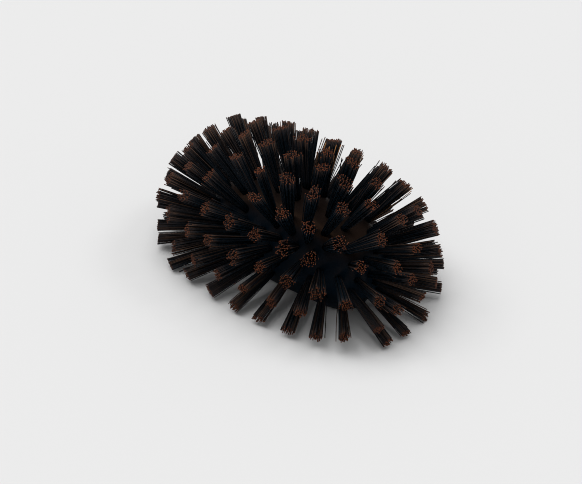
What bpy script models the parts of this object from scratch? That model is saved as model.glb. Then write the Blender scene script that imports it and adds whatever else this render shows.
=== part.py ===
"""A dome-shaped tank brush: an oval block with a socket for a handle in its flat underside, and
rows of tufts that radiate from it. Each tuft stands in its own blind hole.

Metres, +Z up. The block stands on its flat underside at z = 0, with its long axis along X. The
front is at -Y. Row 1 is the lowest, and the crest is the short row along the top.
"""

import bisect
import math

import bmesh
import bpy
from mathutils import Matrix, Vector

# The block: an oval that bulges at its widest level and is cut flat below it. Its plan is boxier
# than its profile, and a higher power makes either of them boxier.
BLOCK_LENGTH = 0.126
BLOCK_WIDTH = 0.05
CROWN_HEIGHT = 0.035
FOOT_HEIGHT = 0.025
PLAN_POWER = 4
PROFILE_POWER = 3
FOOT_ROUND = 0.0015
BLOCK_SEGMENTS = 40
BLOCK_RINGS = 20

# The socket for the handle, a plain bore up from the underside.
SOCKET_RADIUS = 0.012
SOCKET_DEPTH = 0.03
SOCKET_CHAMFER = 0.0015
SOCKET_SIDES = 24

# The holes of the tufts. Each row runs round the block at one height and has as many tufts as
# its pitch of roots gives. They are spread evenly where they end, so that their roots stand closer
# round the ends of the block. The shares are of the tuft pitch, of the block's height, and of the
# row's own spacing for what the row is turned by.
TUFT_PITCH = 0.0126
FAN_RADIUS = 0.059
ROW_PITCH_SHARES = (0.98, 1, 1, 1.03, 1.03, 1.1)
ROW_HEIGHT_SHARES = (0.19, 0.385, 0.54, 0.73, 0.86, 0.95)
ROW_RISE_DEGREES = (-6, 6, 24, 41, 60, 79)
ROW_TURN_SHARES = (0.69, 0.05, 0.57, 0.14, 0.78, 0.34)
CREST_TUFTS = 5
CREST_PITCH = 0.0134
CREST_FIRST_SHARE = -2.15
HOLE_RADIUS = 0.0025
HOLE_DEPTH = 0.008
HOLE_SIDES = 6
OVERRUN = 0.004
CLEARANCE = 0.0003

# Tufts that are gone, as row and place, counted along the row from the middle of the front.
GONE = ((2, 3), (4, 3), (5, -2))

# A tuft: strands that fan out of a root, which has a corner under each strand.
BRISTLE_LENGTH = 0.0385
ROOT_STAND = 0.0008
STRANDS = 3
STRAND_SIDES = 3
STRAND_ROOT_RADIUS = 0.00072
STRAND_TIP_RADIUS = 0.0015
ROOT_SPREAD = 0.00105
TIP_SPREAD = 0.0036
STRAND_SEAT = 0.0005

# Each part of a row is one solid: a slice of its backing runs inside the block from root to root,
# in a channel that joins the holes.
BACKING_DEPTH = 0.006
BACKING_RADIUS = 0.0011

# A row is kept in four parts, so that the middle of the block stays open to the socket.
END_SHARE = 0.66
CURVE_STEPS = 720


def clear_scene():
    for obj in list(bpy.data.objects):
        bpy.data.objects.remove(obj)


def new_collection(name):
    collection = bpy.data.collections.new(name)
    bpy.context.scene.collection.children.link(collection)
    return collection


def new_material(name, colour, roughness, metallic=0.0):
    material = bpy.data.materials.new(name)
    material.use_nodes = True
    shader = material.node_tree.nodes["Principled BSDF"]
    shader.inputs["Base Color"].default_value = (*colour, 1.0)
    shader.inputs["Roughness"].default_value = roughness
    shader.inputs["Metallic"].default_value = metallic
    material.diffuse_color = (*colour, 1.0)
    return material


def new_object(name, bm, collection, material=None, smooth_below=None):
    mesh = bpy.data.meshes.new(name)
    bm.to_mesh(mesh)
    bm.free()
    if smooth_below is not None:
        mesh.shade_smooth()
        mesh.set_sharp_from_angle(angle=smooth_below)
    obj = bpy.data.objects.new(name, mesh)
    if material:
        mesh.materials.append(material)
    collection.objects.link(obj)
    return obj


def cut(obj, cutter, name):
    cutter.hide_render = True
    cutter.display_type = "WIRE"
    modifier = obj.modifiers.new(name, "BOOLEAN")
    modifier.operation = "DIFFERENCE"
    modifier.solver = "EXACT"
    modifier.object = cutter


def narrowing(level):
    """How much of the block's length and width is left at a level above its widest one."""
    share = min(abs(level / CROWN_HEIGHT), 1)
    return (1 - share ** PROFILE_POWER) ** (1 / PROFILE_POWER)


def onto_oval(direction):
    """The point of the block's surface that lies in this direction from its middle."""
    along, across = direction.x / (BLOCK_LENGTH / 2), direction.y / (BLOCK_WIDTH / 2)
    plan = abs(along) ** PLAN_POWER + abs(across) ** PLAN_POWER
    total = plan ** (PROFILE_POWER / PLAN_POWER) + abs(direction.z / CROWN_HEIGHT) ** PROFILE_POWER
    return direction / total ** (1 / PROFILE_POWER)


def row_curve(level):
    """Points round the block at a level, from the middle of its back by the left end."""
    left = narrowing(level)
    points = []
    for step in range(CURVE_STEPS + 1):
        angle = 2 * math.pi * step / CURVE_STEPS - math.pi
        across, along = -math.cos(angle), math.sin(angle)
        reach = (abs(across) ** PLAN_POWER + abs(along) ** PLAN_POWER) ** (-1 / PLAN_POWER)
        points.append(Vector((
            BLOCK_LENGTH / 2 * left * along * reach,
            BLOCK_WIDTH / 2 * left * across * reach,
            level,
        )))
    return points


def distances_along(points):
    """How far along a line of points each of them lies."""
    travelled = [0]
    for here, there in zip(points, points[1:]):
        travelled.append(travelled[-1] + (there - here).length)
    return travelled


def row_places(number):
    """Place, root and direction of each tuft of a row."""
    level = (CROWN_HEIGHT + FOOT_HEIGHT) * ROW_HEIGHT_SHARES[number - 1] - FOOT_HEIGHT
    rise = math.radians(ROW_RISE_DEGREES[number - 1])
    half_width = BLOCK_WIDTH / 2 * narrowing(level)

    def direction_at(root):
        fan = Vector((root.x / FAN_RADIUS, root.y / half_width * math.cos(rise), math.sin(rise)))
        return fan.normalized()

    roots = row_curve(level)
    tips = [root + direction_at(root) * BRISTLE_LENGTH for root in roots]
    travelled = distances_along(tips)
    around = travelled[-1]
    count = round(distances_along(roots)[-1] / (TUFT_PITCH * ROW_PITCH_SHARES[number - 1]))
    places = []
    for place in range(-(count // 2), count - count // 2):
        turned = place + ROW_TURN_SHARES[number - 1]
        distance = (around / 2 + turned * around / count) % around
        step = bisect.bisect_right(travelled, distance)
        share = (distance - travelled[step - 1]) / (travelled[step] - travelled[step - 1])
        root = roots[step - 1].lerp(roots[step], share)
        places.append((place, root, direction_at(root)))
    return places


def crest_places():
    places = []
    for place in range(CREST_TUFTS):
        along = (place + CREST_FIRST_SHARE) * CREST_PITCH
        share = min(abs(along / (BLOCK_LENGTH / 2)), 1)
        level = CROWN_HEIGHT * (1 - share ** PROFILE_POWER) ** (1 / PROFILE_POWER)
        root = Vector((along, 0, level))
        places.append((place, root, Vector((along / FAN_RADIUS, 0, 1)).normalized()))
    return places


def seat(root, direction):
    """The frame of a hole: its mouth's middle, and +Z out of the block."""
    turn = Vector((0, 0, 1)).rotation_difference(direction).to_matrix().to_4x4()
    return Matrix.Translation(root + Vector((0, 0, FOOT_HEIGHT))) @ turn


def part_of_row(root, level_length):
    if root.x > level_length * END_SHARE:
        return "right_end"
    if root.x < -level_length * END_SHARE:
        return "left_end"
    return "front" if root.y < 0 else "back"


def add_cone(bm, bottom, top, bottom_radius, top_radius, sides):
    """A prism or a frustum between two points."""
    axis = top - bottom
    turn = Vector((0, 0, 1)).rotation_difference(axis).to_matrix().to_4x4()
    bmesh.ops.create_cone(
        bm, cap_ends=True, segments=sides, radius1=bottom_radius, radius2=top_radius,
        depth=axis.length, matrix=Matrix.Translation((bottom + top) / 2) @ turn,
    )


def tube_mesh(points, radius):
    """A square bar with mitred bends, closed at both ends."""
    curve = bpy.data.curves.new("bar", "CURVE")
    curve.dimensions = "3D"
    curve.bevel_depth = radius
    curve.bevel_resolution = 0
    curve.use_fill_caps = True
    spline = curve.splines.new("POLY")
    spline.points.add(len(points) - 1)
    for item, point in zip(spline.points, points):
        item.co = (*point, 1)
    obj = bpy.data.objects.new("bar", curve)
    bpy.context.scene.collection.objects.link(obj)
    bpy.context.view_layer.update()
    mesh = bpy.data.meshes.new_from_object(obj.evaluated_get(bpy.context.evaluated_depsgraph_get()))
    bpy.data.objects.remove(obj)
    bm = bmesh.new()
    bm.from_mesh(mesh)
    bmesh.ops.remove_doubles(bm, verts=bm.verts[:], dist=0.00001)
    bmesh.ops.recalc_face_normals(bm, faces=bm.faces[:])
    bm.to_mesh(mesh)
    bm.free()
    return mesh


def backing_path(frames):
    return [frame @ Vector((0, 0, -BACKING_DEPTH)) for frame in frames]


def tuft_form(guides):
    """One tuft along +Z: a root with its strands, joined to one solid."""
    root_radius = HOLE_RADIUS - CLEARANCE / math.cos(math.pi / HOLE_SIDES)
    lowest = CLEARANCE - HOLE_DEPTH
    bm = bmesh.new()
    add_cone(bm, Vector((0, 0, lowest)), Vector((0, 0, ROOT_STAND)), root_radius, root_radius, STRANDS)
    root = new_object("tuft_root", bm, guides)
    bm = bmesh.new()
    for number in range(STRANDS):
        angle = 2 * math.pi * number / STRANDS
        outward = Vector((math.sin(angle), math.cos(angle), 0))
        start = outward * ROOT_SPREAD + Vector((0, 0, ROOT_STAND - STRAND_SEAT))
        end = outward * TIP_SPREAD + Vector((0, 0, BRISTLE_LENGTH))
        add_cone(bm, start, end, STRAND_ROOT_RADIUS, STRAND_TIP_RADIUS, STRAND_SIDES)
    strands = new_object("tuft_strands", bm, guides)
    for guide in (root, strands):
        guide.hide_render = True
        guide.display_type = "WIRE"
    union = root.modifiers.new("strands", "BOOLEAN")
    union.operation = "UNION"
    union.solver = "EXACT"
    union.object = strands
    bpy.context.view_layer.update()
    seen = root.evaluated_get(bpy.context.evaluated_depsgraph_get())
    return bpy.data.meshes.new_from_object(seen)


def add_form(bm, form, frame):
    """A copy of a form, set in a hole's frame."""
    first = len(bm.verts)
    bm.from_mesh(form)
    bm.verts.ensure_lookup_table()
    bmesh.ops.transform(bm, matrix=frame, verts=bm.verts[first:])


def socket_form(cutters):
    """The socket as a turned solid, from its roof down to a mouth that widens past the underside."""
    outline = (
        (0, SOCKET_DEPTH),
        (SOCKET_RADIUS, SOCKET_DEPTH),
        (SOCKET_RADIUS, SOCKET_CHAMFER),
        (SOCKET_RADIUS + SOCKET_CHAMFER + OVERRUN, -OVERRUN),
        (0, -OVERRUN),
    )
    bm = bmesh.new()
    verts = [bm.verts.new((out, 0, up)) for out, up in outline]
    for upper, lower in zip(verts, verts[1:]):
        bm.edges.new((upper, lower))
    form = new_object("socket", bm, cutters)
    turned = form.modifiers.new("turned", "SCREW")
    turned.axis = "Z"
    turned.steps = SOCKET_SIDES
    turned.render_steps = SOCKET_SIDES
    turned.use_merge_vertices = True
    turned.merge_threshold = 0.00005
    return form


def make_block(collection, cutters, material, rows):
    bm = bmesh.new()
    bmesh.ops.create_uvsphere(bm, u_segments=BLOCK_SEGMENTS, v_segments=BLOCK_RINGS, radius=1)
    for vert in bm.verts:
        stretched = Vector((
            vert.co.x * BLOCK_LENGTH / 2,
            vert.co.y * BLOCK_WIDTH / 2,
            vert.co.z * CROWN_HEIGHT,
        ))
        vert.co = onto_oval(stretched) + Vector((0, 0, FOOT_HEIGHT))
    everything = bm.verts[:] + bm.edges[:] + bm.faces[:]
    cut_edges = bmesh.ops.bisect_plane(
        bm, geom=everything, plane_co=(0, 0, 0), plane_no=(0, 0, 1), clear_inner=True, dist=0.00001,
    )["geom_cut"]
    bmesh.ops.contextual_create(bm, geom=[item for item in cut_edges if isinstance(item, bmesh.types.BMEdge)])
    bmesh.ops.recalc_face_normals(bm, faces=bm.faces[:])
    block = new_object("block", bm, collection, material, smooth_below=math.radians(35))

    rounding = block.modifiers.new("foot_round", "BEVEL")
    rounding.width = FOOT_ROUND
    rounding.segments = 2
    rounding.limit_method = "ANGLE"
    rounding.angle_limit = math.radians(50)

    cut(block, socket_form(cutters), "socket")

    bm = bmesh.new()
    middle = Matrix.Translation((0, 0, (OVERRUN - HOLE_DEPTH) / 2))
    for row in rows.values():
        for frame in row:
            bmesh.ops.create_cone(
                bm, cap_ends=True, segments=HOLE_SIDES, radius1=HOLE_RADIUS, radius2=HOLE_RADIUS,
                depth=OVERRUN + HOLE_DEPTH, matrix=frame @ middle,
            )
    cut(block, new_object("tuft_holes", bm, cutters), "tuft_holes")

    bm = bmesh.new()
    for row in rows.values():
        if len(row) > 1:
            channel = BACKING_RADIUS + CLEARANCE / math.cos(math.pi / 4)
            bm.from_mesh(tube_mesh(backing_path(row), channel))
    cut(block, new_object("backing_channels", bm, cutters), "backing_channels")

    return block


def make_tufts(name, collection, guides, material, form, frames):
    bm = bmesh.new()
    for frame in frames:
        add_form(bm, form, frame)
    if len(frames) == 1:
        return new_object(name, bm, collection, material)
    tufts = new_object(name + "_tufts", bm, guides)
    tufts.hide_render = True
    tufts.display_type = "WIRE"
    bm = bmesh.new()
    bm.from_mesh(tube_mesh(backing_path(frames), BACKING_RADIUS))
    node = new_object(name, bm, collection, material)
    union = node.modifiers.new("tufts", "BOOLEAN")
    union.operation = "UNION"
    union.solver = "EXACT"
    union.object = tufts
    return node


def main():
    clear_scene()
    parts = new_collection("tank_brush")
    cutters = new_collection("cutters")
    plastic = new_material("block_plastic", (0.045, 0.028, 0.02), 0.45)
    bristle = new_material("bristle", (0.03, 0.018, 0.013), 0.5)

    rows = {}
    for number in range(1, len(ROW_HEIGHT_SHARES) + 1):
        places = row_places(number)
        longest = max(abs(root.x) for place, root, direction in places)
        parted = {}
        for place, root, direction in places:
            if (number, place) not in GONE:
                parted.setdefault(part_of_row(root, longest), []).append((root, direction))
        for part, members in parted.items():
            axis = 1 if part.endswith("end") else 0
            members.sort(key=lambda member: member[0][axis])
            rows[f"row_{number}_{part}"] = [seat(root, direction) for root, direction in members]
    rows["crest"] = [seat(root, direction) for place, root, direction in crest_places()]

    total = sum(len(row) for row in rows.values())
    print("tufts", total, "strands", total * STRANDS)
    make_block(parts, cutters, plastic, rows)
    form = tuft_form(cutters)
    for name, row in rows.items():
        make_tufts(name + "_bristles", parts, cutters, bristle, form, row)


main()
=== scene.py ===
"""The tank brush, dressed and lit as in the photograph. Lengths are in metres."""
import bisect
import math
from collections import namedtuple

import bmesh
import bpy
import numpy as np
from mathutils import Matrix, Vector


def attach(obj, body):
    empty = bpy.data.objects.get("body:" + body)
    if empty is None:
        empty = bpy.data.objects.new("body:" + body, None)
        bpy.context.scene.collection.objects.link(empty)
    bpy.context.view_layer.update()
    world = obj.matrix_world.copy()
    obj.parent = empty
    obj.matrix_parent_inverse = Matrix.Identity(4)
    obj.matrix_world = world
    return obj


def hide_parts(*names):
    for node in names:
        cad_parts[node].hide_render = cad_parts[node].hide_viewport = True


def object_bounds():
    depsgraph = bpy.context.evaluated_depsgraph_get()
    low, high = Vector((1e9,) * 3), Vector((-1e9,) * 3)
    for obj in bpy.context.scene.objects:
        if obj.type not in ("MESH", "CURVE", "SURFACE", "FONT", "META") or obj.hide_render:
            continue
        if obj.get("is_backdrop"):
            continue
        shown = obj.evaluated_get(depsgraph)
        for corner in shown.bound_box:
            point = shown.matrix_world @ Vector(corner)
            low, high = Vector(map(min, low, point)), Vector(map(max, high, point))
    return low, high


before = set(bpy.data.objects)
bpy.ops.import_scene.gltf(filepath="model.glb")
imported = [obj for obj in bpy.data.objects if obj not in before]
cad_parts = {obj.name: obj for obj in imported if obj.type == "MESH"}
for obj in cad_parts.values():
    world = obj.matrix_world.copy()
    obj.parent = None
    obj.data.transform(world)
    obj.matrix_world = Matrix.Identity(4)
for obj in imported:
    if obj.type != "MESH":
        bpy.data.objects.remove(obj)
CAD_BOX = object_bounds()

# The block, as the solids have it
BLOCK_LENGTH = 0.126
BLOCK_WIDTH = 0.05
CROWN_HEIGHT = 0.035
FOOT_HEIGHT = 0.025
PLAN_POWER = 4
PROFILE_POWER = 3
FOOT_ROUND = 0.0015
SOCKET_RADIUS = 0.012
SOCKET_DEPTH = 0.03
SOCKET_CHAMFER = 0.0015
HOLE_RADIUS = 0.0025
HOLE_DEPTH = 0.008

# The rows of tufts, as the solids have them. Row 1 is the lowest, and the crest comes after the last row.
# A row's pitch is a share of TUFT_PITCH, its height a share of the block's, and its turn a share of the
# way from one tuft to the next. The first tuft of the crest is so many pitches from its middle.
BRISTLE_LENGTH = 0.0385
TUFT_PITCH = 0.0126
FAN_RADIUS = 0.059
ROW_PITCH_SHARES = (0.98, 1, 1, 1.03, 1.03, 1.1)
ROW_HEIGHT_SHARES = (0.19, 0.385, 0.54, 0.73, 0.86, 0.95)
ROW_RISE_DEGREES = (-6, 6, 24, 41, 60, 79)
ROW_TURN_SHARES = (0.69, 0.05, 0.57, 0.14, 0.78, 0.34)
CREST = len(ROW_HEIGHT_SHARES) + 1
CREST_TUFTS = 5
CREST_PITCH = 0.0134
CREST_FIRST_SHARE = -2.15
CURVE_STEPS = 720

# The ends of a row begin at this share of the way from its middle to its last tuft
END_SHARE = 0.66

# Tufts that are missing in the photograph, by row and place
GONE = ((2, 3), (4, 3), (5, -2))

# The thread in the socket, a ridge that is widest at its foot
THREAD_PITCH = 0.004
THREAD_TURNS = 6.2
THREAD_START = 0.0025
THREAD_DEPTH = 0.0013
THREAD_SUNK = 0.0002
THREAD_FOOT_HALF = 0.0012
THREAD_CREST_HALF = 0.0004
THREAD_STEPS = 40
THREAD_FADE_STEPS = 12

# The fine tufts: filaments that stand close in the hole and fan out to a flat cut
FILAMENTS = 56
STRAYS = 1
LOOSE_STRAYS = 7
FILAMENT_RADIUS = 0.00031
FILAMENT_STEPS = 5
FILAMENT_SIDES = 5
BURIED = 0.002
ROOT_REACH = 0.0022
TIP_REACH = 0.0048
SPREAD_POWER = 0.8
GOLDEN_ANGLE = math.pi * (3 - math.sqrt(5))

# The tufts of the lowest rows fan out less
LOW_ROWS = 2
LOW_ROW_SHARE = 0.84

# A filament that reaches the floor bends and lies on it
LOWEST = 0.00045

# How much tufts differ from one another. A spread is a standard deviation.
TUFT_REACH_SPREAD = 0.08
TUFT_LEAN_SPREAD = 0.0004
TUFT_LENGTH_SPREAD = 0.006
CUT_TILT_SPREAD = 0.1
MOST_SQUASHED = 0.8
TUFT_TONE_RANGE = 0.1

# How much the filaments of a tuft differ
ANGLE_SPREAD = 0.3
ROOT_RANGE = (0.85, 1.12)
WIDENING_SPREAD = 0.08
END_SPREAD = 0.0003
HEIGHT_SPREAD = 0.005
BOW_SPREAD = 0.00015
THICKNESS_SPREAD = 0.06
LIGHTEST_TONE = 0.85
TONE_POWER = 1.6

# Stray filaments stand near the rim of the hole, reach further out and end lower
STRAY_ROOTS = (0.6, 1)
STRAY_WIDENING = (1.3, 1.8)
STRAY_LOWER = 0.004
# Some strays of the loose tufts get a painted amber glow, standing in for light shining through them
PAINTED_GLOW_CHANCE = 0.6
PAINTED_GLOW_TONE = 1

# Tufts with several stray filaments, some of which get a painted amber glow of light shining through
# them, by row and place
LOOSE_TUFTS = ((6, 6), (5, 8), (5, 9), (4, -11), (5, 6))

# Tufts that lean out of their row, by row and place, with the pixel where the photograph shows
# their cut end
LEANING_TUFTS = {
    1: {
        -4: (170, 264), 0: (258, 320), 1: (287, 331), 2: (315, 338), 3: (345, 337), 4: (390, 343),
        5: (405, 334), 6: (426, 316), 7: (437, 288),
    },
    2: {
        -3: (172, 247), 4: (379, 331), 5: (398, 311), 6: (422, 299), 8: (441, 264), 9: (435, 246),
    },
    3: {
        -8: (197, 142), -2: (208, 241), 0: (259, 267), 3: (347, 305), 5: (413, 279), 6: (433, 268),
        8: (438, 227), 9: (424, 214),
    },
    4: {
        -11: (333, 140), -10: (304, 130), -9: (274, 128), -8: (240, 120), -7: (209, 128), -6: (195, 141),
        4: (362, 269), 5: (397, 268), 6: (416, 248), 7: (435, 226), 8: (426, 203), 9: (408, 182),
        10: (384, 167), 11: (358, 152),
    },
    5: {
        -10: (310, 129), -7: (234, 118), -5: (185, 145), -4: (186, 166), -3: (208, 175), -1: (253, 197),
        2: (340, 243), 3: (382, 239), 4: (403, 218), 5: (421, 208), 6: (408, 184), 7: (387, 168),
        8: (358, 151), 9: (335, 139),
    },
    6: {
        -7: (303, 139), -6: (280, 127), -5: (253, 121), -4: (223, 128), -3: (213, 148), -2: (235, 156),
        0: (286, 179), 1: (313, 193), 4: (378, 184), 5: (353, 164), 6: (327, 152),
    },
    CREST: {2: (291, 155), 4: (345, 183)},
}
LEAN_ROUNDS = 4

# The view of the photograph, which is WIDE by HIGH pixels. The brush is seen near MIDDLE_X, MIDDLE_Y.
WIDE, HIGH = 582, 484
VIEW_DOWN = math.radians(42)
VIEW_ROUND = math.radians(36.3)
VIEW_DISTANCE = 1.914
PIXELS_A_METRE = 1496
MIDDLE_X, MIDDLE_Y = 298.6, 239.3
SENSOR_WIDTH = 36

# Colours of the block, the filaments, their cut ends and the floor
# Painted shade on the block's sides: blue-black, mottled between these two
PAINTED_SIDE_SHADE_DARK = (0.0015, 0.008, 0.0145)
PAINTED_SIDE_SHADE_PALE = (0.003, 0.009, 0.0155)
# Painted light on the block's top: brown, mottled between these two
PAINTED_TOP_LIGHT_DARK = (0.006, 0.0046, 0.0044)
PAINTED_TOP_LIGHT_PALE = (0.0105, 0.007, 0.006)
# Painted shade on the undersides of the filaments
PAINTED_UNDERSIDE_SHADE = (0.002, 0.013, 0.023)
# Painted shade near the roots of the filaments
PAINTED_ROOT_SHADE = (0.002, 0.012, 0.022)
RUDDY = (0.07, 0.022, 0.01)
FILAMENT_TONES = (
    (0, (0.004, 0.009, 0.0135)),
    (0.4, (0.013, 0.0135, 0.0155)),
    (LIGHTEST_TONE, (0.068, 0.039, 0.026)),
    # A painted amber glow of light shining through loose strays
    (PAINTED_GLOW_TONE, (0.3, 0.14, 0.05)),
)
DARK_CUT = (0.06, 0.0165, 0.006)
LIGHT_CUT = (0.19, 0.053, 0.02)
FLOOR_GREY = (0.753, 0.753, 0.753, 1)

# A cutter reaches this far past the surface that it cuts
PAST = 0.004

# The outer faces of the block lie this near the oval and face this much its way
ON_OVAL = 0.012
OVAL_WAY = 0.85

# Keeps powers and divisions away from nought
TINY = 1e-12

scene = bpy.context.scene
right = Vector((math.cos(VIEW_ROUND), math.sin(VIEW_ROUND), 0))
ahead = Vector((-math.sin(VIEW_ROUND), math.cos(VIEW_ROUND), 0))
into = ahead * math.cos(VIEW_DOWN) - Vector((0, 0, math.sin(VIEW_DOWN)))
above = ahead * math.sin(VIEW_DOWN) + Vector((0, 0, math.cos(VIEW_DOWN)))

# The middle of the block at its widest level, which the camera looks at
widest_middle = Vector((0, 0, FOOT_HEIGHT))


def seen_at(spot):
    """The pixel of the photograph where a spot is seen."""
    out = spot - widest_middle
    scale = PIXELS_A_METRE / (1 + out.dot(into) / VIEW_DISTANCE)
    return MIDDLE_X + out.dot(right) * scale, MIDDLE_Y - out.dot(above) * scale


def make_camera():
    """The camera of the photograph, framed in its pixels."""
    data = bpy.data.cameras.new("camera")
    data.sensor_width = SENSOR_WIDTH
    data.lens = data.sensor_width * PIXELS_A_METRE * VIEW_DISTANCE / WIDE
    data.shift_x = (WIDE / 2 - MIDDLE_X) / WIDE
    data.shift_y = (MIDDLE_Y - HIGH / 2) / WIDE
    data.clip_end = 20
    camera = bpy.data.objects.new("camera", data)
    scene.collection.objects.link(camera)
    turn = Matrix((right, above, -into)).transposed().to_4x4()
    camera.matrix_world = Matrix.Translation(widest_middle - into * VIEW_DISTANCE) @ turn
    scene.camera = camera
    scene.view_settings.view_transform = "Standard"
    scene.cycles.filter_width = 1.0


# Materials
class Painter:
    """A new material with a Principled shader, and short ways to add its nodes."""

    def __init__(self, name):
        self.material = bpy.data.materials.new(name)
        self.material.use_nodes = True
        self.tree = self.material.node_tree
        self.shader = self.tree.nodes["Principled BSDF"]
        places = self.tree.nodes.new("ShaderNodeTexCoord").outputs
        self.place = places["Object"]
        self.outwards = places["Normal"]

    def link(self, source, target):
        self.tree.links.new(source, target)

    def noise(self, scale, detail=3):
        node = self.tree.nodes.new("ShaderNodeTexNoise")
        node.inputs["Scale"].default_value = scale
        node.inputs["Detail"].default_value = detail
        self.link(self.place, node.inputs["Vector"])
        return node.outputs["Fac"]

    def facing_up(self):
        """How far the surface faces up, from -1 to 1."""
        node = self.tree.nodes.new("ShaderNodeSeparateXYZ")
        self.link(self.outwards, node.inputs["Vector"])
        return node.outputs["Z"]

    def attribute(self, name):
        node = self.tree.nodes.new("ShaderNodeAttribute")
        node.attribute_name = name
        return node.outputs["Fac"]

    def ramp(self, source, stops):
        node = self.tree.nodes.new("ShaderNodeValToRGB")
        elements = node.color_ramp.elements
        while len(elements) < len(stops):
            elements.new(1)
        for element, (position, colour) in zip(elements, stops):
            element.position = position
            element.color = (*colour, 1)
        self.link(source, node.inputs["Fac"])
        return node.outputs["Color"]

    def span(self, source, low, high, start=0.0, end=1.0):
        """Start where the source is low, end where it is high, and between them in between."""
        node = self.tree.nodes.new("ShaderNodeMapRange")
        node.inputs["From Min"].default_value = low
        node.inputs["From Max"].default_value = high
        node.inputs["To Min"].default_value = start
        node.inputs["To Max"].default_value = end
        self.link(source, node.inputs["Value"])
        return node.outputs["Result"]

    def mix(self, factor, first, second):
        """A colour between two, each of which is a colour or a socket."""
        node = self.tree.nodes.new("ShaderNodeMix")
        node.data_type = "RGBA"
        self.link(factor, node.inputs["Factor"])
        for colour, socket in ((first, "A"), (second, "B")):
            if isinstance(colour, bpy.types.NodeSocket):
                self.link(colour, node.inputs[socket])
            else:
                node.inputs[socket].default_value = (*colour, 1)
        return node.outputs["Result"]

    def finish(self, colour, roughness, grain, strength, distance):
        """Links the colour, the roughness and a bump to the shader."""
        self.link(colour, self.shader.inputs["Base Color"])
        self.link(roughness, self.shader.inputs["Roughness"])
        node = self.tree.nodes.new("ShaderNodeBump")
        node.inputs["Strength"].default_value = strength
        node.inputs["Distance"].default_value = distance
        self.link(grain, node.inputs["Height"])
        self.link(node.outputs["Normal"], self.shader.inputs["Normal"])


def block_material():
    """Satin plastic with the fine grain of its mould: painted shade, blue-black, on its sides, and
    painted light, browner, on its top.
    """
    paint = Painter("block_plastic_fine")
    cloud = paint.noise(scale=45, detail=4)
    # Painted shade on the sides and painted light on the top, mixed by how far the surface faces up
    side = paint.ramp(cloud, ((0.3, PAINTED_SIDE_SHADE_DARK), (0.75, PAINTED_SIDE_SHADE_PALE)))
    top = paint.ramp(cloud, ((0.3, PAINTED_TOP_LIGHT_DARK), (0.75, PAINTED_TOP_LIGHT_PALE)))
    colour = paint.mix(paint.span(paint.facing_up(), low=0.25, high=0.8), side, top)
    roughness = paint.span(cloud, low=0.2, high=0.8, start=0.34, end=0.46)
    paint.finish(colour, roughness, grain=paint.noise(scale=900), strength=0.25, distance=0.0002)
    paint.shader.inputs["Specular IOR Level"].default_value = 0.07
    paint.shader.inputs["Specular Tint"].default_value = (1, 0.5, 0.25, 1)
    return paint.material


def bristle_material():
    """Dark filament: painted shade, blue-black, on its underside and towards its root, painted light in
    its own tone, browner, on its top, and ruddy at its cut end.
    """
    paint = Painter("bristle_fine")
    along = paint.attribute("along")
    brown = paint.ramp(paint.attribute("tone"), FILAMENT_TONES)
    # Painted light on the tops of the filaments, painted shade on their undersides
    painted_light_share = paint.span(paint.facing_up(), low=-0.2, high=0.7, start=0.1, end=1)
    lit = paint.mix(painted_light_share, PAINTED_UNDERSIDE_SHADE, brown)
    # Painted shade towards the roots, deep among the tufts
    body = paint.mix(paint.span(along, low=0, high=0.5, start=0.4, end=1), PAINTED_ROOT_SHADE, lit)
    colour = paint.mix(paint.span(along, low=0.98, high=1, start=0, end=0.6), body, RUDDY)
    streak = paint.noise(scale=1400, detail=2)
    roughness = paint.span(streak, low=0.2, high=0.8, start=0.34, end=0.5)
    paint.finish(colour, roughness, grain=streak, strength=0.3, distance=0.00005)
    paint.shader.inputs["Specular IOR Level"].default_value = 0.22
    paint.shader.inputs["Specular Tint"].default_value = (1, 0.55, 0.34, 1)
    return paint.material


def cut_end_material():
    """The sawn ends of the filaments: rough and reddish brown."""
    paint = Painter("bristle_cut_end")
    fleck = paint.noise(scale=1500)
    colour = paint.ramp(fleck, ((0.3, DARK_CUT), (0.7, LIGHT_CUT)))
    roughness = paint.span(fleck, low=0.2, high=0.8, start=0.5, end=0.75)
    paint.finish(colour, roughness, grain=fleck, strength=0.4, distance=0.00005)
    paint.shader.inputs["Specular IOR Level"].default_value = 0.1
    return paint.material


BLOCK_PLASTIC = block_material()
BRISTLE = bristle_material()
CUT_END = cut_end_material()


# Where the tufts stand. Roots and levels are measured from the block's widest level.
def narrowing(level):
    """How much of the block's length and width is left at a level above its widest one."""
    share = min(abs(level / CROWN_HEIGHT), 1)
    return (1 - share ** PROFILE_POWER) ** (1 / PROFILE_POWER)


def row_curve(level):
    """Points round the block at a level, from the middle of its back by the left end."""
    left = narrowing(level)
    points = []
    for step in range(CURVE_STEPS + 1):
        angle = 2 * math.pi * step / CURVE_STEPS - math.pi
        across, along = -math.cos(angle), math.sin(angle)
        reach = (abs(across) ** PLAN_POWER + abs(along) ** PLAN_POWER) ** (-1 / PLAN_POWER)
        points.append(Vector((
            BLOCK_LENGTH / 2 * left * along * reach,
            BLOCK_WIDTH / 2 * left * across * reach,
            level,
        )))
    return points


def distances_along(points):
    """How far each point is from the first, along the line through them."""
    travelled = [0]
    for here, there in zip(points, points[1:]):
        travelled.append(travelled[-1] + (there - here).length)
    return travelled


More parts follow.
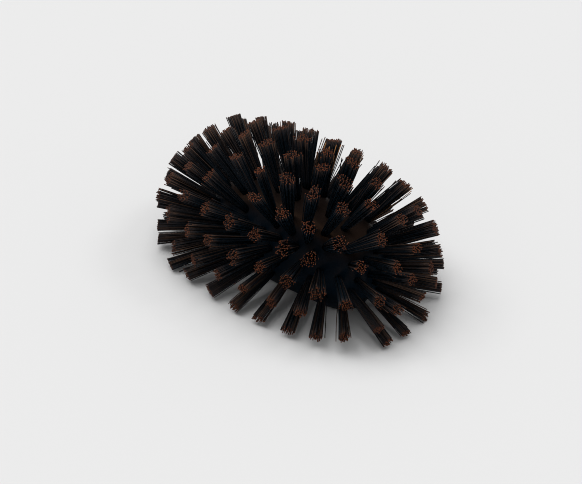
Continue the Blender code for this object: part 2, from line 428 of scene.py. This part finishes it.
def row_places(number):
    """Place, root and direction of each tuft of a row."""
    level = (CROWN_HEIGHT + FOOT_HEIGHT) * ROW_HEIGHT_SHARES[number - 1] - FOOT_HEIGHT
    rise = math.radians(ROW_RISE_DEGREES[number - 1])
    half_width = BLOCK_WIDTH / 2 * narrowing(level)

    def direction_at(root):
        fan = Vector((root.x / FAN_RADIUS, root.y / half_width * math.cos(rise), math.sin(rise)))
        return fan.normalized()

    roots = row_curve(level)
    tips = [root + direction_at(root) * BRISTLE_LENGTH for root in roots]
    travelled = distances_along(tips)
    around = travelled[-1]
    count = round(distances_along(roots)[-1] / (TUFT_PITCH * ROW_PITCH_SHARES[number - 1]))
    places = []
    for place in range(-(count // 2), count - count // 2):
        turned = place + ROW_TURN_SHARES[number - 1]
        distance = (around / 2 + turned * around / count) % around
        step = bisect.bisect_right(travelled, distance)
        share = (distance - travelled[step - 1]) / (travelled[step] - travelled[step - 1])
        root = roots[step - 1].lerp(roots[step], share)
        places.append((place, root, direction_at(root)))
    return places


def crest_places():
    """Place, root and direction of each tuft along the crest."""
    places = []
    for place in range(CREST_TUFTS):
        along = (place + CREST_FIRST_SHARE) * CREST_PITCH
        share = abs(along / (BLOCK_LENGTH / 2))
        level = CROWN_HEIGHT * (1 - share ** PROFILE_POWER) ** (1 / PROFILE_POWER)
        direction = Vector((along / FAN_RADIUS, 0, 1)).normalized()
        places.append((place, Vector((along, 0, level)), direction))
    return places


def seat(root, direction):
    """The frame of a hole: its mouth's middle, and +Z out of the block."""
    turn = Vector((0, 0, 1)).rotation_difference(direction).to_matrix().to_4x4()
    return Matrix.Translation(root + widest_middle) @ turn


def part_of_row(root, longest):
    """Which of the four nodes of its row a tuft belongs to."""
    if root.x > longest * END_SHARE:
        return "right_end"
    if root.x < -longest * END_SHARE:
        return "left_end"
    return "front" if root.y < 0 else "back"


def leaned(root, direction, pixel):
    """A direction, bent until the tuft's end is seen near a pixel of the photograph."""
    foot = root + widest_middle
    for _ in range(LEAN_ROUNDS):
        tip = foot + direction * BRISTLE_LENGTH
        x, y = seen_at(tip)
        miss = right * (pixel[0] - x) - above * (pixel[1] - y)
        direction = (tip + miss / PIXELS_A_METRE - foot).normalized()
    return direction


# A tuft has the frame of its hole, the frame that it leans to, the reach of its fan and its strays
Tuft = namedtuple("Tuft", "hole lean reach strays")


def tuft_at(number, place, root, direction):
    """The tuft at a place of a row, which leans where the photograph shows it so."""
    pixel = LEANING_TUFTS[number].get(place)
    bent = leaned(root, direction, pixel) if pixel else direction
    reach = TIP_REACH * LOW_ROW_SHARE if number <= LOW_ROWS else TIP_REACH
    strays = LOOSE_STRAYS if (number, place) in LOOSE_TUFTS else STRAYS
    return Tuft(seat(root, direction), seat(root, bent), reach, strays)


def all_tufts():
    """The tufts of each part of a row and of the crest."""
    tufts = {}
    for number in range(1, CREST):
        places = row_places(number)
        longest = max(abs(root.x) for place, root, direction in places)
        for place, root, direction in places:
            if (number, place) not in GONE:
                name = f"row_{number}_{part_of_row(root, longest)}"
                tufts.setdefault(name, []).append(tuft_at(number, place, root, direction))
    tufts["crest"] = [tuft_at(CREST, *member) for member in crest_places()]
    return tufts


TUFTS = all_tufts()


# The tufts, filament by filament
def filament_path(start, end, height, bow):
    """Points up a filament, from inside the hole to the cut, in the tuft's own frame."""
    share = np.linspace(0, 1, FILAMENT_STEPS + 1)
    fanning = np.outer(share ** SPREAD_POWER, end - start)
    bowing = np.outer(np.sin(np.pi * share), bow)
    path = np.empty((FILAMENT_STEPS + 1, 3))
    path[:, :2] = start + fanning + bowing
    path[:, 2] = -BURIED + (height + BURIED) * share
    return path


def tuft_filaments(dice, tuft):
    """Path, thickness and tone of each filament of one tuft."""
    reach = tuft.reach * dice.normal(1, TUFT_REACH_SPREAD)
    lean = dice.normal(0, TUFT_LEAN_SPREAD, 2)
    cut_tilt = dice.normal(0, CUT_TILT_SPREAD, 2)
    squash = dice.uniform(MOST_SQUASHED, 1)
    squash_way = dice.uniform(0, math.pi)
    long_way = np.array([math.cos(squash_way), math.sin(squash_way)])
    length = BRISTLE_LENGTH * dice.normal(1, TUFT_LENGTH_SPREAD)
    tuft_tone = dice.uniform(-TUFT_TONE_RANGE, TUFT_TONE_RANGE)
    turn = dice.uniform(0, 2 * math.pi)
    for number in range(FILAMENTS + tuft.strays):
        stray = number >= FILAMENTS
        spot = dice.uniform(*STRAY_ROOTS) if stray else math.sqrt((number + 0.5) / FILAMENTS)
        angle = turn + number * GOLDEN_ANGLE + dice.normal(0, ANGLE_SPREAD)
        spot *= dice.uniform(*ROOT_RANGE)
        out = np.array([math.cos(angle), math.sin(angle)]) * spot
        widening = dice.uniform(*STRAY_WIDENING) if stray else dice.normal(1, WIDENING_SPREAD)
        fanned = out * squash + long_way * (out @ long_way) * (1 / squash - squash)
        end = fanned * reach * widening + lean + dice.normal(0, END_SPREAD, 2)
        height = length * dice.normal(1, HEIGHT_SPREAD) + end @ cut_tilt
        if stray:
            height -= dice.uniform(0, STRAY_LOWER)
        own_tone = LIGHTEST_TONE * dice.uniform(0, 1) ** TONE_POWER
        tone = min(max(own_tone + tuft_tone, 0), LIGHTEST_TONE)
        # Painted amber glow of light shining through a loose stray
        if stray and tuft.strays > STRAYS and dice.uniform(0, 1) < PAINTED_GLOW_CHANCE:
            tone = PAINTED_GLOW_TONE
        path = filament_path(out * ROOT_REACH, end, height, dice.normal(0, BOW_SPREAD, 2))
        yield path, dice.normal(1, THICKNESS_SPREAD), tone


def filament_faces(first):
    """The faces of a filament from its first corner up: its sides, its cut end and its buried end."""
    faces = []
    for step in range(FILAMENT_STEPS):
        for side in range(FILAMENT_SIDES):
            here = first + step * FILAMENT_SIDES + side
            beside = first + step * FILAMENT_SIDES + (side + 1) % FILAMENT_SIDES
            faces.append((here, beside, beside + FILAMENT_SIDES, here + FILAMENT_SIDES))
    last = first + FILAMENT_STEPS * FILAMENT_SIDES
    faces.append(tuple(range(last, last + FILAMENT_SIDES)))
    faces.append(tuple(reversed(range(first, first + FILAMENT_SIDES))))
    return faces


def tuft_mesh(name, tufts, seed):
    """All the filaments of some tufts, as one mesh with a tone and a share of the way up."""
    dice = np.random.default_rng(seed)
    ring = np.arange(FILAMENT_SIDES) * 2 * math.pi / FILAMENT_SIDES
    corners, tones = [], []
    for tuft in tufts:
        across, aside, up, foot = np.array(tuft.lean)[:3].T
        outline = np.outer(np.cos(ring), across) + np.outer(np.sin(ring), aside)
        for path, thickness, tone in tuft_filaments(dice, tuft):
            spots = path @ np.stack((across, aside, up)) + foot
            spots[:, 2] = np.maximum(spots[:, 2], LOWEST)
            rings = spots[:, None, :] + outline * FILAMENT_RADIUS * thickness
            corners.append(rings.reshape(-1, 3))
            tones.append(tone)
    count = len(corners)
    corners_each = (FILAMENT_STEPS + 1) * FILAMENT_SIDES
    faces = []
    for number in range(count):
        faces += filament_faces(number * corners_each)
    is_cut = ([False] * FILAMENT_STEPS * FILAMENT_SIDES + [True, False]) * count
    mesh = bpy.data.meshes.new(name)
    mesh.from_pydata(np.concatenate(corners), [], faces)
    mesh.materials.append(BRISTLE)
    mesh.materials.append(CUT_END)
    mesh.polygons.foreach_set("material_index", [int(cut) for cut in is_cut])
    mesh.polygons.foreach_set("use_smooth", [not cut for cut in is_cut])
    share = np.repeat(np.linspace(0, 1, FILAMENT_STEPS + 1), FILAMENT_SIDES)
    for attribute, values in (("along", np.tile(share, count)), ("tone", np.repeat(tones, corners_each))):
        mesh.attributes.new(attribute, "FLOAT", "POINT").data.foreach_set("value", values)
    mesh.update()
    return mesh


def make_tufts():
    """Fine tufts in place of the strands of every bristle node."""
    for seed, (name, members) in enumerate(TUFTS.items(), start=11):
        tufts = bpy.data.objects.new(name + "_tufts", tuft_mesh(name + "_tufts", members, seed))
        scene.collection.objects.link(tufts)
        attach(tufts, "root")
        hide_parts(name + "_bristles")


# The block
def new_object(name, bm):
    """An object of the scene, made from a bmesh that is used up."""
    bmesh.ops.recalc_face_normals(bm, faces=bm.faces[:])
    mesh = bpy.data.meshes.new(name)
    bm.to_mesh(mesh)
    bm.free()
    obj = bpy.data.objects.new(name, mesh)
    scene.collection.objects.link(obj)
    return obj


def oval_measure(points):
    """1 on the oval, less inside it, with the slope of that measure. Points are from its middle."""
    halves = np.array([BLOCK_LENGTH / 2, BLOCK_WIDTH / 2, CROWN_HEIGHT])
    shares = np.abs(points / halves)
    plan = np.maximum((shares[:, :2] ** PLAN_POWER).sum(1), TINY)
    measure = plan ** (PROFILE_POWER / PLAN_POWER) + shares[:, 2] ** PROFILE_POWER
    slopes = np.empty_like(shares)
    slopes[:, :2] = shares[:, :2] ** (PLAN_POWER - 1) * plan[:, None] ** (PROFILE_POWER / PLAN_POWER - 1)
    slopes[:, 2] = shares[:, 2] ** (PROFILE_POWER - 1)
    slopes *= np.sign(points) / halves
    return measure, slopes / (np.linalg.norm(slopes, axis=1)[:, None] + TINY)


def oval_body():
    """The block without its holes and socket, cut off flat at the floor."""
    bm = bmesh.new()
    bmesh.ops.create_uvsphere(bm, u_segments=128, v_segments=72, radius=1)
    halves = Vector((BLOCK_LENGTH / 2, BLOCK_WIDTH / 2, CROWN_HEIGHT))
    for vert in bm.verts:
        spot = vert.co * halves
        measure = oval_measure(np.array([spot]))[0][0]
        vert.co = spot / measure ** (1 / PROFILE_POWER) + widest_middle
    everything = bm.verts[:] + bm.edges[:] + bm.faces[:]
    cut = bmesh.ops.bisect_plane(
        bm, geom=everything, plane_co=(0, 0, 0), plane_no=(0, 0, 1), clear_inner=True, dist=0.00001,
    )["geom_cut"]
    bmesh.ops.contextual_create(bm, geom=[item for item in cut if isinstance(item, bmesh.types.BMEdge)])
    block = new_object("block_body", bm)
    rounding = block.modifiers.new("foot_round", "BEVEL")
    rounding.width = FOOT_ROUND
    rounding.segments = 4
    rounding.limit_method = "ANGLE"
    rounding.angle_limit = math.radians(50)
    return block


def add_cone(bm, place, segments, low, high, low_radius, high_radius):
    """A cone between two heights along the Z of its place."""
    bmesh.ops.create_cone(
        bm, cap_ends=True, segments=segments, radius1=low_radius, radius2=high_radius,
        depth=high - low, matrix=place @ Matrix.Translation((0, 0, (low + high) / 2)),
    )


def bore_cutter():
    """The bore of the socket, for the handle."""
    bm = bmesh.new()
    add_cone(
        bm, Matrix(), segments=64, low=-PAST, high=SOCKET_DEPTH,
        low_radius=SOCKET_RADIUS, high_radius=SOCKET_RADIUS,
    )
    return new_object("socket_cut", bm)


def mouth_cutter():
    """The mouth of the socket, which goes on widening past the underside."""
    bm = bmesh.new()
    add_cone(
        bm, Matrix(), segments=64, low=-PAST, high=SOCKET_CHAMFER,
        low_radius=SOCKET_RADIUS + SOCKET_CHAMFER + PAST, high_radius=SOCKET_RADIUS,
    )
    return new_object("mouth_cut", bm)


def hole_cutter():
    """One round hole for each tuft."""
    bm = bmesh.new()
    for members in TUFTS.values():
        for tuft in members:
            add_cone(
                bm, tuft.hole, segments=20, low=-HOLE_DEPTH, high=PAST,
                low_radius=HOLE_RADIUS, high_radius=HOLE_RADIUS,
            )
    return new_object("hole_cuts", bm)


def fine_block():
    """The block, smooth, with its holes and its socket."""
    block = oval_body()
    cutters = (bore_cutter(), mouth_cutter(), hole_cutter())
    for cutter in cutters:
        modifier = block.modifiers.new(cutter.name, "BOOLEAN")
        modifier.operation = "DIFFERENCE"
        modifier.solver = "EXACT"
        modifier.object = cutter
    bpy.context.view_layer.update()
    mesh = bpy.data.meshes.new_from_object(block.evaluated_get(bpy.context.evaluated_depsgraph_get()))
    block.modifiers.clear()
    block.data = mesh
    for cutter in cutters:
        bpy.data.objects.remove(cutter)
    shade_as_oval(mesh)
    mesh.materials.clear()
    mesh.materials.append(BLOCK_PLASTIC)
    return block


def shade_as_oval(mesh):
    """Gives the outer faces the oval's own normals, so that the holes leave no creases round them."""
    mesh.shade_smooth()
    mesh.set_sharp_from_angle(angle=math.radians(40))
    points = np.empty(len(mesh.vertices) * 3, np.float32)
    mesh.vertices.foreach_get("co", points)
    measure, slopes = oval_measure(points.reshape(-1, 3).astype(float) - (0, 0, FOOT_HEIGHT))
    lies_on = np.abs(measure - 1) < ON_OVAL
    normals = np.zeros((len(mesh.loops), 3))
    for face in mesh.polygons:
        corners = list(face.vertices)
        if lies_on[corners].all() and slopes[corners].mean(0) @ np.array(face.normal) > OVAL_WAY:
            normals[list(face.loop_indices)] = slopes[corners]
    mesh.normals_split_custom_set(normals)


def socket_thread():
    """The thread of the socket: a ridge that winds up its wall and fades at both ends."""
    steps = int(THREAD_TURNS * THREAD_STEPS)
    bm = bmesh.new()
    rings = []
    for step in range(steps + 1):
        angle = 2 * math.pi * step / THREAD_STEPS
        up = THREAD_START + THREAD_PITCH * step / THREAD_STEPS
        depth = THREAD_DEPTH * min(1, step / THREAD_FADE_STEPS, (steps - step) / THREAD_FADE_STEPS)
        outline = (
            (THREAD_SUNK, -THREAD_FOOT_HALF),
            (-depth, -THREAD_CREST_HALF),
            (-depth, THREAD_CREST_HALF),
            (THREAD_SUNK, THREAD_FOOT_HALF),
        )
        ring = []
        for out, rise in outline:
            reach = SOCKET_RADIUS + out
            ring.append(bm.verts.new((reach * math.cos(angle), reach * math.sin(angle), up + rise)))
        rings.append(ring)
    for here, there in zip(rings, rings[1:]):
        for corner, beside in ((0, 1), (1, 2), (2, 3), (3, 0)):
            bm.faces.new((here[corner], here[beside], there[beside], there[corner]))
    bm.faces.new(rings[0][::-1])
    bm.faces.new(rings[-1])
    thread = new_object("socket_thread", bm)
    thread.data.materials.append(BLOCK_PLASTIC)
    thread.data.shade_smooth()
    thread.data.set_sharp_from_angle(angle=math.radians(30))
    return thread


def make_block():
    """The fine block in place of the plain one, and the thread in its socket."""
    block = fine_block()
    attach(block, "root")
    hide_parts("block")
    thread = socket_thread()
    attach(thread, "root")


# Floor and light
def make_floor():
    """A sheet of pale paper, far wider than the view."""
    paint = Painter("floor_paper")
    paint.shader.inputs["Base Color"].default_value = FLOOR_GREY
    paint.shader.inputs["Roughness"].default_value = 0.9
    paint.shader.inputs["Specular IOR Level"].default_value = 0.0
    bm = bmesh.new()
    bmesh.ops.create_grid(bm, x_segments=1, y_segments=1, size=6)
    floor = new_object("floor", bm)
    floor.data.materials.append(paint.material)
    floor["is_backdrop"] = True


def make_sun(name, strength, width_degrees, comes_from):
    """A wide light from far away, which comes from a direction."""
    data = bpy.data.lights.new(name, "SUN")
    data.energy = strength
    data.angle = math.radians(width_degrees)
    sun = bpy.data.objects.new(name, data)
    scene.collection.objects.link(sun)
    sun.rotation_mode = "QUATERNION"
    sun.rotation_quaternion = comes_from.to_track_quat("Z", "Y")


def make_light():
    """A soft light from above, and one from each side for the shadows that the photograph shows there."""
    world = bpy.data.worlds.new("world")
    world.use_nodes = True
    world.node_tree.nodes["Background"].inputs["Color"].default_value = (1, 1, 1, 1)
    world.node_tree.nodes["Background"].inputs["Strength"].default_value = 0.3
    scene.world = world
    up = Vector((0, 0, 1))
    from_right = up * 0.77 + right * 0.6 + ahead * 0.15
    from_left = up * 0.77 - right * 0.6 + ahead * 0.2
    make_sun("overhead", strength=2.0, width_degrees=50, comes_from=up + ahead * 0.1 - right * 0.1)
    make_sun("right_side", strength=0.35, width_degrees=16, comes_from=from_right)
    make_sun("left_side", strength=0.4, width_degrees=18, comes_from=from_left)


make_camera()
make_tufts()
make_block()
make_floor()
make_light()

boxes = [[list(corner) for corner in box] for box in (CAD_BOX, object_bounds())]
